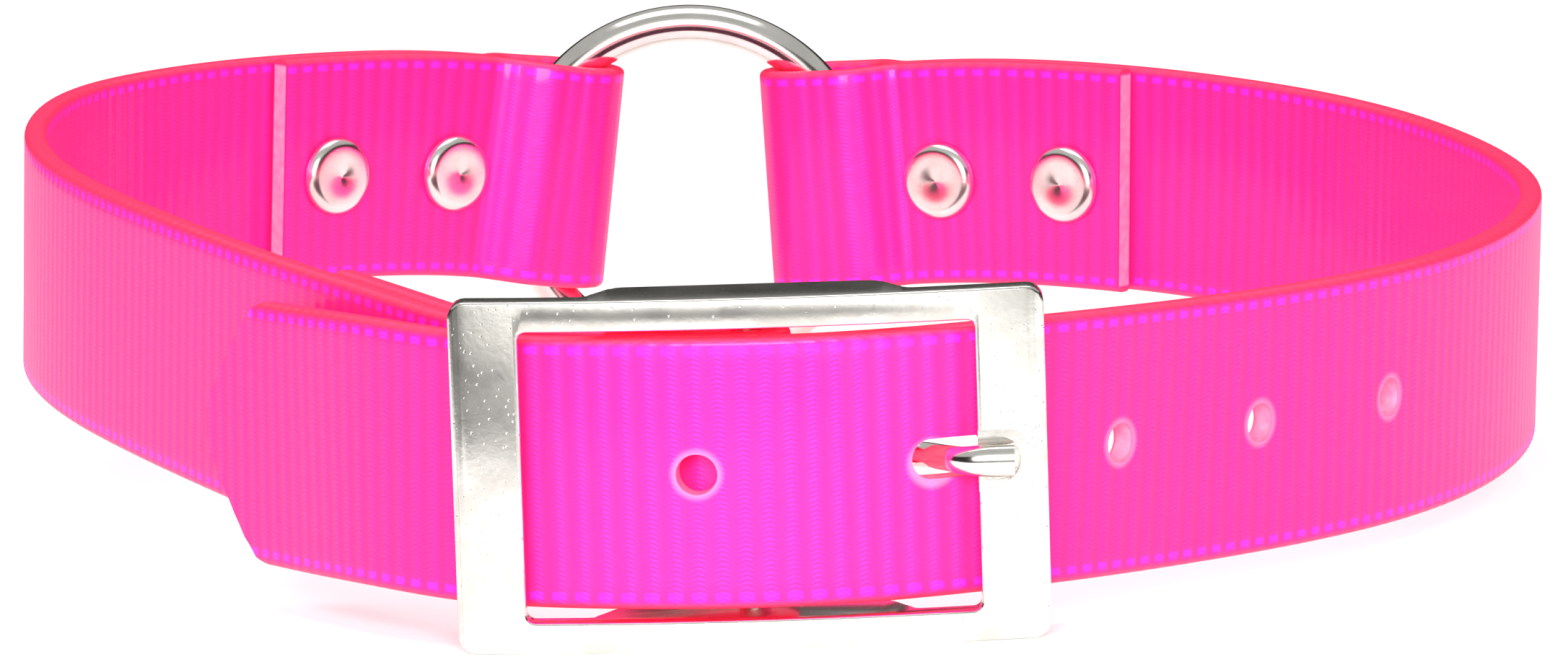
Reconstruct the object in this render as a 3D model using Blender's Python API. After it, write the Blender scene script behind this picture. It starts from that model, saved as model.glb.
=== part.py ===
"""A buckled dog collar of coated webbing with a round ring between its two straps.

Units are metres and +Z is up. The loop is first laid out in its own frame: the middle of the
buckle's front at Y = 0, the ring behind it at Y = LOOP_DEPTH, X across, Z = 0 at the middle of
the strap's width where it meets the ring. The whole collar is then tipped so that it stands on
the buckle's lower edge and on the ring, and moved so that its box is centred on the origin.
"""
import math

import bmesh
import bpy
import numpy as np
from mathutils import Matrix, Vector

# Strap
STRAP_WIDTH = 0.0254
STRAP_THICKNESS = 0.0023
STRAP_EDGE = 0.0005
LAYER_GAP = 0.0003
FLAP_LENGTH = 0.0400
PINCH_START = 0.0052
PINCH_END = 0.0112

# Loop
LOOP_WIDTH = 0.1570
LOOP_DEPTH = 0.2195
STRAP_LIFT = 0.0031

# Ring
RING_WIRE = 0.0043
RING_OUTER = 0.0432
RING_SHIFT = 0.0096
RING_DROP = 0.0020
FOLD_GAP = 0.0176
FOLD_ROOM = 0.0022
RING_BACK = 0.0001

# Rivets
RIVET_CAP = 0.0088
RIVET_CAP_HEIGHT = 0.0012
RIVET_SHANK = 0.0030
RIVET_FIRST = 0.0158
RIVET_SPACING = 0.0168
RIVET_DROP = 0.0008
SEAT_GAP = 0.0003

# Buckle
BUCKLE_WIDTH = 0.0550
BUCKLE_HEIGHT = 0.0330
BUCKLE_SHIFT = 0.0014
WINDOW_WIDTH = 0.0422
WINDOW_HEIGHT = 0.0272
FRAME_DEPTH = 0.0032
FRAME_ARCH = 0.0026
FRAME_CORNER = 0.0016
FRAME_CHAMFER = 0.0007
LUG_LENGTH = 0.0240
LUG_RAMP = 0.0030
LUG_DEPTH = 0.0092
BAR_DIAMETER = 0.0030
BAR_DEPTH = 0.0074
BUCKLE_ROLL = math.radians(2.75)
BAR_FLAP = 0.0560
BAR_RIVET_FIRST = 0.0365
BAR_RIVET_SPACING = 0.0135
BAR_PINCH_START = 0.0022
BAR_PINCH_END = 0.0090

# Tongue, its notch and the tail's holes
TONGUE_WIRE = 0.0024
TONGUE_LIFT = 0.0004
TONGUE_SLOT_GAP = 0.0005
NOTCH_WIDTH = 0.0054
NOTCH_LENGTH = 0.0053
NOTCH_DEPTH = 0.0016
HOLE_DIAMETER = 0.0038
HOLE_PITCH = 0.0216
HOLE_COUNT = 5
HOLE_REACH = 0.0169
HOLE_DRAWN = 0.0020
TAIL_REST = 0.0685
TIP_LENGTH = 0.0115

FOLD_RADIUS = RING_WIRE / 2 + FOLD_ROOM + STRAP_THICKNESS / 2
BAR_FOLD_RADIUS = BAR_DIAMETER / 2 + LAYER_GAP + STRAP_THICKNESS / 2
LAP = (STRAP_THICKNESS + LAYER_GAP) / 2

# Where the tail strap's middle runs, from the ring to the buckle. Across is a share of half the
# loop's width, along a share of its depth, and lift a share of STRAP_LIFT.
TAIL_STATIONS = [
    ("first_rivet", 0.266, 0.968, 0.60),
    ("second_rivet", 0.449, 0.928, 0.92),
    ("back_corner", 0.619, 0.880, 1.00),
    ("back_turn", 0.771, 0.822, 1.00),
    ("back_side", 0.930, 0.694, 1.00),
    ("widest", 1.000, 0.533, 1.00),
    ("front_side", 0.938, 0.374, 1.00),
    ("front_corner", 0.754, 0.227, 1.05),
    ("outer_holes", 0.467, 0.101, 1.20),
]

# The same for the buckle strap, from the buckle to the ring.
BUCKLE_STATIONS = [
    ("under_frame", -0.215, 0.042, 0.80),
    ("past_frame", -0.325, 0.064, 0.78),
    ("flap", -0.433, 0.119, 0.82),
    ("flap_end", -0.548, 0.189, 0.90),
    ("front_corner", -0.668, 0.267, 0.95),
    ("front_side", -0.866, 0.415, 1.00),
    ("side", -0.983, 0.570, 1.00),
    ("widest", -0.996, 0.683, 1.00),
    ("back_side", -0.953, 0.770, 1.00),
    ("back_corner", -0.832, 0.845, 1.00),
    ("second_rivet", -0.640, 0.915, 0.92),
    ("first_rivet", -0.473, 0.962, 0.60),
]

# How far the tail's middle stands off the buckle strap's beyond the buckle, in thicknesses of
# strap, and how far it hangs, as a share of STRAP_LIFT. Along is a share of TAIL_REST.
LAP_STATIONS = [
    ("past_frame", 0.50, 2.05, 0.50),
    ("second_rivet", 0.72, 2.15, 0.15),
    ("tip", 1.05, 2.45, -0.30),
]

# Outline of the tail's point: distance from the tip as a share of TIP_LENGTH, half height as a
# share of half the strap's width.
TIP_OUTLINE = [
    ("blunt_end", 0.00, 0.10),
    ("end_corner", 0.05, 0.21),
    ("lower_slope", 0.30, 0.48),
    ("upper_slope", 0.62, 0.79),
    ("shoulder", 0.85, 0.95),
    ("full_width", 1.00, 1.00),
]

# Course of the tongue beyond the bar: across as a share of HOLE_REACH, and how far it lies in
# front of the bar's middle as a share of the tongue's eye.
TONGUE_STATIONS = [
    ("on_bar", 0.00, 1.00),
    ("leaving_bar", 0.25, 0.75),
    ("behind_tail", 0.50, 0.35),
    ("before_hole", 0.75, 0.10),
    ("in_hole", 0.92, 0.30),
]

# The same in front of the tail, where the lift is a share of the way from the bar's middle to
# the notch's floor.
TONGUE_FRONT_STATIONS = [
    ("through_hole", 1.06, 0.55),
    ("over_edge", 1.19, 0.96),
    ("at_notch", 1.32, 1.00),
]
EYE_START = math.radians(-15.0)
EYE_END = math.radians(240.0)

# Directions in which the straps leave and reach their folds.
LEAVE_BAR = (-1.0, 0.12, 0.0)
REACH_RING = (0.90, 0.43, -0.095)
LEAVE_RING = (0.91, -0.41, 0.095)

# Fineness of the shapes
FOLD_STEPS = 10
LONG_STEP = 0.0050
SHORT_STEP = 0.0018
FOLD_REACH = 0.0160
PUNCHED_STEPS = 48
ARCH_STEPS = 14
EYE_STEPS = 13
NOTCH_STEPS = 8
RIVET_SIDES = 20
TONGUE_SIDES = 10
RING_STEPS = 48
RING_SIDES = 12
SHANK_HOLE_SIDES = 12
TAIL_HOLE_SIDES = 16
BAR_SIDES = 16
SLOPE_REACH = 0.0005


def material(name, colour, roughness, metallic):
    """One plain Principled material."""
    made = bpy.data.materials.new(name)
    made.use_nodes = True
    shader = made.node_tree.nodes["Principled BSDF"]
    shader.inputs["Base Color"].default_value = (*colour, 1.0)
    shader.inputs["Roughness"].default_value = roughness
    shader.inputs["Metallic"].default_value = metallic
    return made


def add_object(name, bm, made_material, parent):
    """Turn a bmesh into an object with outward faces under the given parent."""
    bmesh.ops.recalc_face_normals(bm, faces=bm.faces)
    mesh = bpy.data.meshes.new(name)
    bm.to_mesh(mesh)
    bm.free()
    mesh.materials.append(made_material)
    made = bpy.data.objects.new(name, mesh)
    bpy.context.scene.collection.objects.link(made)
    made.parent = parent
    return made


def cut(target, cutter, operation="DIFFERENCE"):
    """Cut another object out of the target, or join it on, and keep that object as a guide."""
    cutter.hide_render = True
    cutter.display_type = "WIRE"
    step = target.modifiers.new(cutter.name, "BOOLEAN")
    step.operation = operation
    step.solver = "EXACT"
    step.object = cutter


def smooth(value):
    """Ease from 0 to 1."""
    held = min(max(value, 0.0), 1.0)
    return held * held * (3.0 - 2.0 * held)


class Route:
    """A smooth curve through points, measured along its length."""

    def __init__(self, points, start_direction, end_direction):
        self.points = np.array([tuple(point) for point in points])
        chords = np.linalg.norm(np.diff(self.points, axis=0), axis=1)
        self.knots = np.concatenate([[0.0], np.cumsum(chords)])
        self.slopes = self.solve_slopes(start_direction, end_direction)
        fine = np.linspace(0.0, self.knots[-1], 40 * len(chords))
        places = np.array([self.at_knot(value)[0] for value in fine])
        lengths = np.linalg.norm(np.diff(places, axis=0), axis=1)
        self.fine = fine
        self.travelled = np.concatenate([[0.0], np.cumsum(lengths)])
        self.length = float(self.travelled[-1])

    def solve_slopes(self, start_direction, end_direction):
        """Slopes that make the curve's bend continuous, with both end directions given."""
        count = len(self.points)
        steps = np.diff(self.knots)
        rates = np.diff(self.points, axis=0) / steps[:, None]
        system = np.eye(count)
        wanted = np.zeros((count, 3))
        wanted[0] = start_direction
        wanted[-1] = end_direction
        for row in range(1, count - 1):
            before = steps[row - 1]
            after = steps[row]
            system[row, row - 1] = after
            system[row, row] = 2.0 * (before + after)
            system[row, row + 1] = before
            wanted[row] = 3.0 * (after * rates[row - 1] + before * rates[row])
        return np.linalg.solve(system, wanted)

    def at_knot(self, value):
        """Place and direction at a knot value."""
        last = len(self.knots) - 2
        index = int(np.clip(np.searchsorted(self.knots, value, side="right") - 1, 0, last))
        step = self.knots[index + 1] - self.knots[index]
        t = (value - self.knots[index]) / step
        start = self.points[index]
        end = self.points[index + 1]
        start_slope = self.slopes[index] * step
        end_slope = self.slopes[index + 1] * step
        place = (
            (2 * t**3 - 3 * t**2 + 1) * start
            + (t**3 - 2 * t**2 + t) * start_slope
            + (3 * t**2 - 2 * t**3) * end
            + (t**3 - t**2) * end_slope
        )
        direction = (
            (6 * t**2 - 6 * t) * start
            + (3 * t**2 - 4 * t + 1) * start_slope
            + (6 * t - 6 * t**2) * end
            + (3 * t**2 - 2 * t) * end_slope
        )
        return place, direction

    def frame(self, distance):
        """Place, direction, outward side and width direction at a distance along the route."""
        value = float(np.interp(distance, self.travelled, self.fine))
        place, direction = self.at_knot(value)
        along = Vector(direction).normalized()
        outward = Vector((-along.y, along.x, 0.0)).normalized()
        return Vector(place), along, outward, along.cross(outward)

    def distance_where(self, test):
        """First distance at which the test of a place holds."""
        for value, distance in zip(self.fine, self.travelled):
            if test(self.at_knot(value)[0]):
                return float(distance)
        return self.length


def fold_offset(distance, radius, start, end, flap):
    """Half the space between a folded strap's two layers, fading out beyond its flap."""
    opened = LAP + (radius - LAP) * (1.0 - smooth((distance - start) / (end - start)))
    return opened * (1.0 - smooth((distance - flap) / flap))


def ring_offset(distance):
    """The layers' offset at a distance from the ring's fold."""
    return fold_offset(distance, FOLD_RADIUS, PINCH_START, PINCH_END, FLAP_LENGTH)


def bar_offset(distance):
    """The layers' offset at a distance from the centre bar's fold."""
    return fold_offset(distance, BAR_FOLD_RADIUS, BAR_PINCH_START, BAR_PINCH_END, BAR_FLAP)


def spaced(start, end, near_start, near_end):
    """Distances from start to end, closer together near the ends that need it."""
    marks = [start]
    while marks[-1] < end - 1e-9:
        here = marks[-1]
        close_to_start = near_start and here - start < FOLD_REACH
        close = close_to_start or (near_end and end - here < FOLD_REACH)
        step = SHORT_STEP if close else LONG_STEP
        if near_end and not close:
            step = min(step, max(end - FOLD_REACH - here, SHORT_STEP))
        if end - here < step * 1.5:
            step = end - here
        marks.append(here + step)
    return marks


def layer_rows(route, distances, offset_of, side, turned):
    """Cross-section frames of one layer: place, outer side, width direction, half height."""
    rows = []
    for distance in distances:
        place, along, outward, upward = route.frame(distance)
        offset = offset_of(distance)
        ahead = offset_of(distance + SLOPE_REACH)
        behind = offset_of(max(distance - SLOPE_REACH, 0.0))
        change = (ahead - behind) / (2 * SLOPE_REACH)
        leaning = (outward - along * change * side).normalized()
        centre = place + outward * offset * side
        rows.append((centre, leaning * turned, upward, STRAP_WIDTH / 2))
    return rows


def fold_rows(route, distance, radius, backward):
    """The half turn of a fold about its wire, from the inner layer to the outer one."""
    place, along, outward, upward = route.frame(distance)
    rows = []
    for step in range(1, FOLD_STEPS):
        angle = math.pi * step / FOLD_STEPS
        outer_side = -outward * math.cos(angle) + along * backward * math.sin(angle)
        rows.append((place + outer_side * radius, outer_side, upward, STRAP_WIDTH / 2))
    return rows


def strap_mesh(rows):
    """Sweep the strap's eight-sided section through the rows and close both ends."""
    half = STRAP_THICKNESS / 2
    bm = bmesh.new()
    rings = []
    for centre, side, upward, half_height in rows:
        edge = min(STRAP_EDGE, half_height / 2)
        corners = [
            (half - edge, half_height),
            (half, half_height - edge),
            (half, edge - half_height),
            (half - edge, -half_height),
            (edge - half, -half_height),
            (-half, edge - half_height),
            (-half, half_height - edge),
            (edge - half, half_height),
        ]
        rings.append([bm.verts.new(centre + side * a + upward * b) for a, b in corners])
    for first, second in zip(rings, rings[1:]):
        count = len(first)
        for index in range(count):
            after = (index + 1) % count
            bm.faces.new((first[index], first[after], second[after], second[index]))
    bm.faces.new(rings[0][::-1])
    bm.faces.new(rings[-1])
    return bm


def rod_mesh(diameter, length, sides, centre, axis):
    """A plain round rod along an axis."""
    bm = bmesh.new()
    turn = Vector((0, 0, 1)).rotation_difference(axis).to_matrix().to_4x4()
    bmesh.ops.create_cone(
        bm,
        cap_ends=True,
        segments=sides,
        radius1=diameter / 2,
        radius2=diameter / 2,
        depth=length,
        matrix=Matrix.Translation(centre) @ turn,
    )
    return bm


def ring_place():
    """Centre of the ring in the loop's frame."""
    return Vector((-RING_SHIFT, LOOP_DEPTH - RING_BACK, -RING_DROP))


def fold_axis(side):
    """Middle of the ring fold on one side, level with the strap's middle."""
    reach = FOLD_GAP / 2 + FOLD_RADIUS + STRAP_THICKNESS / 2
    return Vector((side * reach - RING_SHIFT, LOOP_DEPTH, 0.0))


def buckle_matrix():
    """The buckle's own frame: X across, Y inward from the middle of its front, Z up."""
    place = Vector((-BUCKLE_SHIFT, 0.0, STRAP_LIFT))
    return Matrix.Translation(place) @ Matrix.Rotation(-BUCKLE_ROLL, 4, "Y")


def frame_drop(across):
    """How far the arched front of the frame falls back at a place across it."""
    return FRAME_ARCH * (2.0 * across / BUCKLE_WIDTH) ** 2


def tail_depth(across):
    """Depth of the tail's middle behind the front of the frame, at a place across it."""
    inner_edge = WINDOW_WIDTH / 2
    crest = BAR_DEPTH - BAR_FOLD_RADIUS - STRAP_THICKNESS - LAYER_GAP
    under = frame_drop(inner_edge) + FRAME_DEPTH + 2 * LAYER_GAP + STRAP_THICKNESS / 2
    return crest + (under - crest) * (across / inner_edge) ** 2


def station_points(stations):
    """Points of a strap's route from its table."""
    return [
        Vector((across * LOOP_WIDTH / 2, along * LOOP_DEPTH, lift * STRAP_LIFT))
        for _, across, along, lift in stations
    ]


def buckle_strap_route():
    """Route of the buckle strap's middle, from the centre bar to the ring."""
    buckle = buckle_matrix()
    start = buckle @ Vector((0.0, BAR_DEPTH, 0.0))
    leave = buckle.to_3x3() @ Vector(LEAVE_BAR)
    arrive = Vector(REACH_RING)
    points = [start, *station_points(BUCKLE_STATIONS), fold_axis(-1)]
    return Route(points, leave.normalized(), arrive.normalized())


def tail_route(other):
    """Route of the tail strap's middle, from the ring through the buckle to its free end."""
    buckle = buckle_matrix()
    bar = (BUCKLE_WIDTH + WINDOW_WIDTH) / 4
    in_buckle = []
    for share in (1.0, 0.5, 0.0, -0.5, -1.0):
        in_buckle.append(buckle @ Vector((bar * share, tail_depth(bar * share), 0.0)))
    beyond = []
    for _, along, stand_off, lift in LAP_STATIONS:
        place, _, outward, _ = other.frame(along * TAIL_REST)
        covered = other_offset(other, along * TAIL_REST)
        point = place + outward * (covered + stand_off * STRAP_THICKNESS)
        point.z = lift * STRAP_LIFT
        beyond.append(point)
    leave = Vector(LEAVE_RING).normalized()
    arrive = (beyond[-1] - beyond[-2]).normalized()
    points = [fold_axis(1), *station_points(TAIL_STATIONS), *in_buckle, *beyond]
    return Route(points, leave, arrive)


def other_offset(route, distance):
    """Offset of the buckle strap's outer layer from its route, both folds counted."""
    return bar_offset(distance) + ring_offset(route.length - distance)


def cut_rivet_holes(strap, route, distances, parent, steel):
    """Holes through both layers of a fold for its rivets."""
    for index, distance in enumerate(distances):
        place, _, outward, upward = route.frame(distance)
        centre = place - upward * RIVET_DROP
        diameter = RIVET_SHANK + 2 * SEAT_GAP
        hole = rod_mesh(diameter, 6 * STRAP_THICKNESS, SHANK_HOLE_SIDES, centre, outward)
        cut(strap, add_object(f"{strap.name}_rivet_hole_{index + 1}", hole, steel, parent))


def rivet_mesh():
    """A double-capped rivet about Z: outer cap, shank and inner cap in one turned piece."""
    seat = STRAP_THICKNESS + LAYER_GAP / 2 + SEAT_GAP
    shank = RIVET_SHANK / 2
    cap = RIVET_CAP / 2
    rim = RIVET_CAP_HEIGHT * 0.45
    dome = [(share, math.sqrt(1.0 - share * share)) for share in (0.96, 0.82, 0.55)]
    upper = [(shank, seat), (cap * 0.97, seat), (cap, seat + rim * 0.5)]
    upper += [(cap * share, seat + rim + (RIVET_CAP_HEIGHT - rim) * rise) for share, rise in dome]
    profile = [(radius, -height) for radius, height in reversed(upper)] + upper
    sides = RIVET_SIDES
    bm = bmesh.new()
    rings = []
    for radius, height in profile:
        ring = []
        for side in range(sides):
            angle = 2 * math.pi * side / sides
            ring.append(bm.verts.new((radius * math.cos(angle), radius * math.sin(angle), height)))
        rings.append(ring)
    for first, second in zip(rings, rings[1:]):
        for side in range(sides):
            after = (side + 1) % sides
            bm.faces.new((first[side], first[after], second[after], second[side]))
    top = seat + RIVET_CAP_HEIGHT
    for ring, height in ((rings[0], -top), (rings[-1], top)):
        crown = bm.verts.new((0.0, 0.0, height))
        for side in range(sides):
            bm.faces.new((ring[side], ring[(side + 1) % sides], crown))
    return bm


def add_rivets(prefix, route, distances, steel, parent):
    """Rivets through a fold at the given distances along the strap's route."""
    for index, distance in enumerate(distances):
        place, _, outward, upward = route.frame(distance)
        rivet = add_object(f"{prefix}_{index + 1}", rivet_mesh(), steel, parent)
        across = upward.cross(outward)
        turn = Matrix((across, upward, outward)).transposed().to_4x4()
        rivet.matrix_local = Matrix.Translation(place - upward * RIVET_DROP) @ turn


def make_tail_strap(route, webbing, parent):
    """The long strap: folded round the ring, threaded through the buckle, pointed and punched."""
    end = tail_end(route)
    flap = spaced(0.0, FLAP_LENGTH, True, False)
    rows = layer_rows(route, flap[::-1], ring_offset, -1, -1)
    rows += fold_rows(route, 0.0, FOLD_RADIUS, -1)
    body_end = end - TIP_LENGTH
    run = spaced(0.0, FLAP_LENGTH, True, False)
    far = route.distance_where(lambda place: place[1] < LOOP_DEPTH * 0.2)
    run += spaced(FLAP_LENGTH, far, False, False)[1:]
    punched = (body_end - far) / PUNCHED_STEPS
    run += [far + step * punched for step in range(1, PUNCHED_STEPS + 1)]
    rows += layer_rows(route, run, ring_offset, 1, 1)
    for _, along, height in TIP_OUTLINE[::-1][1:]:
        rows += layer_rows(route, [end - along * TIP_LENGTH], ring_offset, 1, 1)
        rows[-1] = (*rows[-1][:3], height * STRAP_WIDTH / 2)
    return add_object("tail_strap", strap_mesh(rows), webbing, parent)


def tongue_distance(route):
    """Distance along the tail of the hole that the tongue is in."""
    wanted = HOLE_REACH - BUCKLE_SHIFT
    near = LOOP_DEPTH * 0.1
    return route.distance_where(lambda place: place[1] < near and place[0] < wanted)


def tail_end(route):
    """Distance along the tail of its tip: beyond the last hole by the tail's rest."""
    return tongue_distance(route) + HOLE_PITCH + TAIL_REST


def punch_tail(strap, route, steel, parent):
    """The row of round holes, one of them drawn out where the tongue passes."""
    start = tongue_distance(route)
    for index in range(HOLE_COUNT):
        distance = start + HOLE_PITCH - index * HOLE_PITCH
        place, along, outward, _ = route.frame(distance)
        if index == 1:
            place = place - along * HOLE_DRAWN
            place.z += TONGUE_LIFT
        hole = rod_mesh(HOLE_DIAMETER, 4 * STRAP_THICKNESS, TAIL_HOLE_SIDES, place, outward)
        if index == 1:
            stretch_hole(hole, place, along)
        cut(strap, add_object(f"tail_hole_{index + 1}", hole, steel, parent))


def stretch_hole(bm, place, along):
    """Draw a hole out along the strap on both sides of its middle."""
    for vert in bm.verts:
        side = 1.0 if (vert.co - place).dot(along) > 0.0 else -1.0
        vert.co += along * side * HOLE_DRAWN


def make_buckle_strap(route, webbing, steel, parent):
    """The short strap: folded round the centre bar at one end and the ring at the other."""
    def from_ring(distance):
        return ring_offset(route.length - distance)

    def both(distance):
        return other_offset(route, distance)

    bar_flap = spaced(0.0, BAR_FLAP, True, False)
    ring_flap = spaced(route.length - FLAP_LENGTH, route.length, False, True)
    rows = layer_rows(route, bar_flap[::-1], bar_offset, -1, -1)
    rows += fold_rows(route, 0.0, BAR_FOLD_RADIUS, -1)
    run = spaced(0.0, BAR_FLAP, True, False)
    run += spaced(BAR_FLAP, route.length - FLAP_LENGTH, False, False)[1:]
    run += ring_flap[1:]
    rows += layer_rows(route, run, both, 1, 1)
    rows += fold_rows(route, route.length, FOLD_RADIUS, 1)[::-1]
    rows += layer_rows(route, ring_flap[::-1], from_ring, -1, -1)
    strap = add_object("buckle_strap", strap_mesh(rows), webbing, parent)

    slot = bmesh.new()
    bmesh.ops.create_cube(slot, size=1.0)
    eye = BAR_DIAMETER / 2 + LAYER_GAP + TONGUE_WIRE
    length = 2 * (eye + 2 * TONGUE_SLOT_GAP)
    height = TONGUE_WIRE + 2 * TONGUE_SLOT_GAP
    bmesh.ops.scale(slot, vec=(length, 6 * STRAP_THICKNESS, height), verts=slot.verts)
    slot_object = add_object("tongue_slot", slot, steel, parent)
    slot_object.matrix_local = buckle_matrix() @ Matrix.Translation((0.0, BAR_DEPTH, TONGUE_LIFT))
    cut(strap, slot_object)
    return strap


def make_frame(steel, parent):
    """The cast buckle: arched frame, lugs behind its middle, centre bar and tongue notch."""
    half = BUCKLE_WIDTH / 2
    lug = LUG_LENGTH / 2
    front = [half * step / ARCH_STEPS for step in range(ARCH_STEPS, -ARCH_STEPS - 1, -1)]
    outline = [(across, frame_drop(across)) for across in front]
    behind = [-half, -0.8 * half, -lug - LUG_RAMP]
    outline += [(across, frame_drop(across) + FRAME_DEPTH) for across in behind]
    outline += [(-lug, LUG_DEPTH), (lug, LUG_DEPTH)]
    outline += [(-across, frame_drop(across) + FRAME_DEPTH) for across in reversed(behind)]
    bm = bmesh.new()
    low = [bm.verts.new((across, depth, -BUCKLE_HEIGHT / 2)) for across, depth in outline]
    face = bm.faces.new(low)
    raised = bmesh.ops.extrude_face_region(bm, geom=[face])
    moved = [item for item in raised["geom"] if isinstance(item, bmesh.types.BMVert)]
    bmesh.ops.translate(bm, vec=(0.0, 0.0, BUCKLE_HEIGHT), verts=moved)
    bmesh.ops.recalc_face_normals(bm, faces=bm.faces)
    corners = [edge for edge in bm.edges if is_corner(edge)]
    bmesh.ops.bevel(
        bm, geom=corners, offset=FRAME_CORNER, segments=3, profile=0.5, affect="EDGES"
    )
    rim = [edge for edge in bm.edges if is_front_rim(edge)]
    bmesh.ops.bevel(bm, geom=rim, offset=FRAME_CHAMFER, segments=2, profile=0.5, affect="EDGES")
    frame = add_object("buckle_frame", bm, steel, parent)
    frame.matrix_local = buckle_matrix()

    window = bmesh.new()
    bmesh.ops.create_cube(window, size=1.0)
    bmesh.ops.scale(window, vec=(WINDOW_WIDTH, 4 * LUG_DEPTH, WINDOW_HEIGHT), verts=window.verts)
    through = [
        edge for edge in window.edges if abs(edge.verts[0].co.y - edge.verts[1].co.y) > LUG_DEPTH
    ]
    bmesh.ops.bevel(
        window, geom=through, offset=FRAME_CORNER / 2, segments=2, profile=0.5, affect="EDGES"
    )
    window_object = add_object("buckle_window", window, steel, parent)
    window_object.matrix_local = buckle_matrix()
    cut(frame, window_object)

    notch_object = add_object("tongue_notch", notch_mesh(), steel, parent)
    notch_object.matrix_local = buckle_matrix()
    cut(frame, notch_object)

    length = (BUCKLE_HEIGHT + WINDOW_HEIGHT) / 2
    middle = Vector((0.0, BAR_DEPTH, 0.0))
    bar = rod_mesh(BAR_DIAMETER, length, BAR_SIDES, middle, Vector((0, 0, 1)))
    bar_object = add_object("centre_bar", bar, steel, parent)
    bar_object.matrix_local = buckle_matrix()
    cut(frame, bar_object, "UNION")
    return frame


def is_corner(edge):
    """One of the frame's four outer corner edges, which run front to back."""
    first, second = (vert.co for vert in edge.verts)
    at_side = min(abs(first.x), abs(second.x)) > BUCKLE_WIDTH / 2 - 1e-6
    return at_side and abs(first.z - second.z) < 1e-6


def is_front_rim(edge):
    """An edge between the arched front and the frame's outer wall."""
    first, second = (face.normal for face in edge.link_faces)
    front = max(-first.y, -second.y)
    wall = min(-first.y, -second.y)
    in_front = max(vert.co.y for vert in edge.verts) < FRAME_ARCH + FRAME_CHAMFER
    return front > 0.8 and abs(wall) < 0.3 and in_front


def notch_floor():
    """Depth of the notch's floor behind the middle of the buckle's front."""
    return frame_drop(WINDOW_WIDTH / 2) + NOTCH_DEPTH


def notch_mesh():
    """Cutter of the notch: straight sides from the window, round at its outer end."""
    radius = NOTCH_WIDTH / 2
    centre = WINDOW_WIDTH / 2 + NOTCH_LENGTH - radius
    outline = [(WINDOW_WIDTH / 2 - radius, -radius), (WINDOW_WIDTH / 2 - radius, radius)]
    for step in range(NOTCH_STEPS + 1):
        angle = math.pi / 2 - math.pi * step / NOTCH_STEPS
        outline.append((centre + radius * math.cos(angle), radius * math.sin(angle)))
    bm = bmesh.new()
    floor = notch_floor()
    deep = [bm.verts.new((across, floor, height + TONGUE_LIFT)) for across, height in outline]
    face = bm.faces.new(deep)
    raised = bmesh.ops.extrude_face_region(bm, geom=[face])
    moved = [item for item in raised["geom"] if isinstance(item, bmesh.types.BMVert)]
    bmesh.ops.translate(bm, vec=(0.0, -floor - FRAME_DEPTH, 0.0), verts=moved)
    return bm


def tongue_path():
    """Centre line of the tongue: round the bar, through the tail's hole and into the notch."""
    wire = TONGUE_WIRE / 2
    eye = BAR_DIAMETER / 2 + LAYER_GAP + wire
    points = []
    for step in range(EYE_STEPS + 1):
        angle = EYE_START + (EYE_END - EYE_START) * step / EYE_STEPS
        points.append((eye * math.cos(angle), BAR_DEPTH + eye * math.sin(angle)))
    for _, across, front in TONGUE_STATIONS:
        points.append((across * HOLE_REACH, BAR_DEPTH - front * eye))
    rest = notch_floor() - LAYER_GAP - wire
    for _, across, share in TONGUE_FRONT_STATIONS:
        points.append((across * HOLE_REACH, BAR_DEPTH + share * (rest - BAR_DEPTH)))
    points.append((WINDOW_WIDTH / 2 + NOTCH_LENGTH - 2 * LAYER_GAP, rest))
    return points


def tongue_mesh():
    """The tongue as one bent wire."""
    path = [Vector((across, depth, TONGUE_LIFT)) for across, depth in tongue_path()]
    upward = Vector((0.0, 0.0, 1.0))
    radius = TONGUE_WIRE / 2
    sides = TONGUE_SIDES
    bm = bmesh.new()
    rings = []
    last = len(path) - 1
    for index, centre in enumerate(path):
        along = (path[min(index + 1, last)] - path[max(index - 1, 0)]).normalized()
        across = along.cross(upward)
        ring = []
        for side in range(sides):
            angle = 2 * math.pi * side / sides
            out = across * math.cos(angle) + upward * math.sin(angle)
            ring.append(bm.verts.new(centre + out * radius))
        rings.append(ring)
    for first, second in zip(rings, rings[1:]):
        for side in range(sides):
            after = (side + 1) % sides
            bm.faces.new((first[side], first[after], second[after], second[side]))
    bm.faces.new(rings[0][::-1])
    bm.faces.new(rings[-1])
    return bm


def make_ring(steel, parent):
    """The welded ring, turned about its own axis, which runs front to back."""
    major = (RING_OUTER - RING_WIRE) / 2
    around = RING_STEPS
    sides = RING_SIDES
    bm = bmesh.new()
    rings = []
    for step in range(around):
        turn = 2 * math.pi * step / around
        radial = Vector((math.cos(turn), 0.0, math.sin(turn)))
        ring = []
        for side in range(sides):
            angle = 2 * math.pi * side / sides
            out = radial * math.cos(angle) + Vector((0.0, math.sin(angle), 0.0))
            ring.append(bm.verts.new(radial * major + out * RING_WIRE / 2))
        rings.append(ring)
    for step in range(around):
        first = rings[step]
        second = rings[(step + 1) % around]
        for side in range(sides):
            after = (side + 1) % sides
            bm.faces.new((first[side], first[after], second[after], second[side]))
    ring_object = add_object("ring", bm, steel, parent)
    ring_object.location = ring_place()
    return ring_object


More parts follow.
